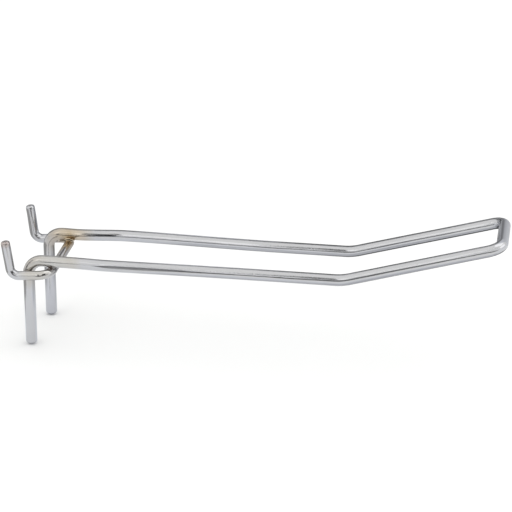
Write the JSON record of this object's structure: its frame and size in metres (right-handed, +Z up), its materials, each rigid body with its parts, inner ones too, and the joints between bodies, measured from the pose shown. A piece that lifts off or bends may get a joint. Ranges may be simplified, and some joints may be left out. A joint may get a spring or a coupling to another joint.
{
  "type": "double hook",
  "caption": "Chromed wire display hook for a perforated board: parallel prongs rise to a closed tip, with legs that lean on the board and welded pegs.",
  "frame": {"origin": "on the face of the board, midway between the two pegs and at the height of the board's holes", "axes": "+X straight out from the board towards the tip bar, +Y along the board, +Z up"},
  "size_m": [0.26, 0.0548, 0.0733],
  "materials": {
    "plated_wire": "bright plated steel wire, tinted straw and brown near the welds"
  },
  "bodies": {
    "root": {"loop_wire": "plated_wire", "back_wire": "plated_wire"}
  },
  "joints": []
}
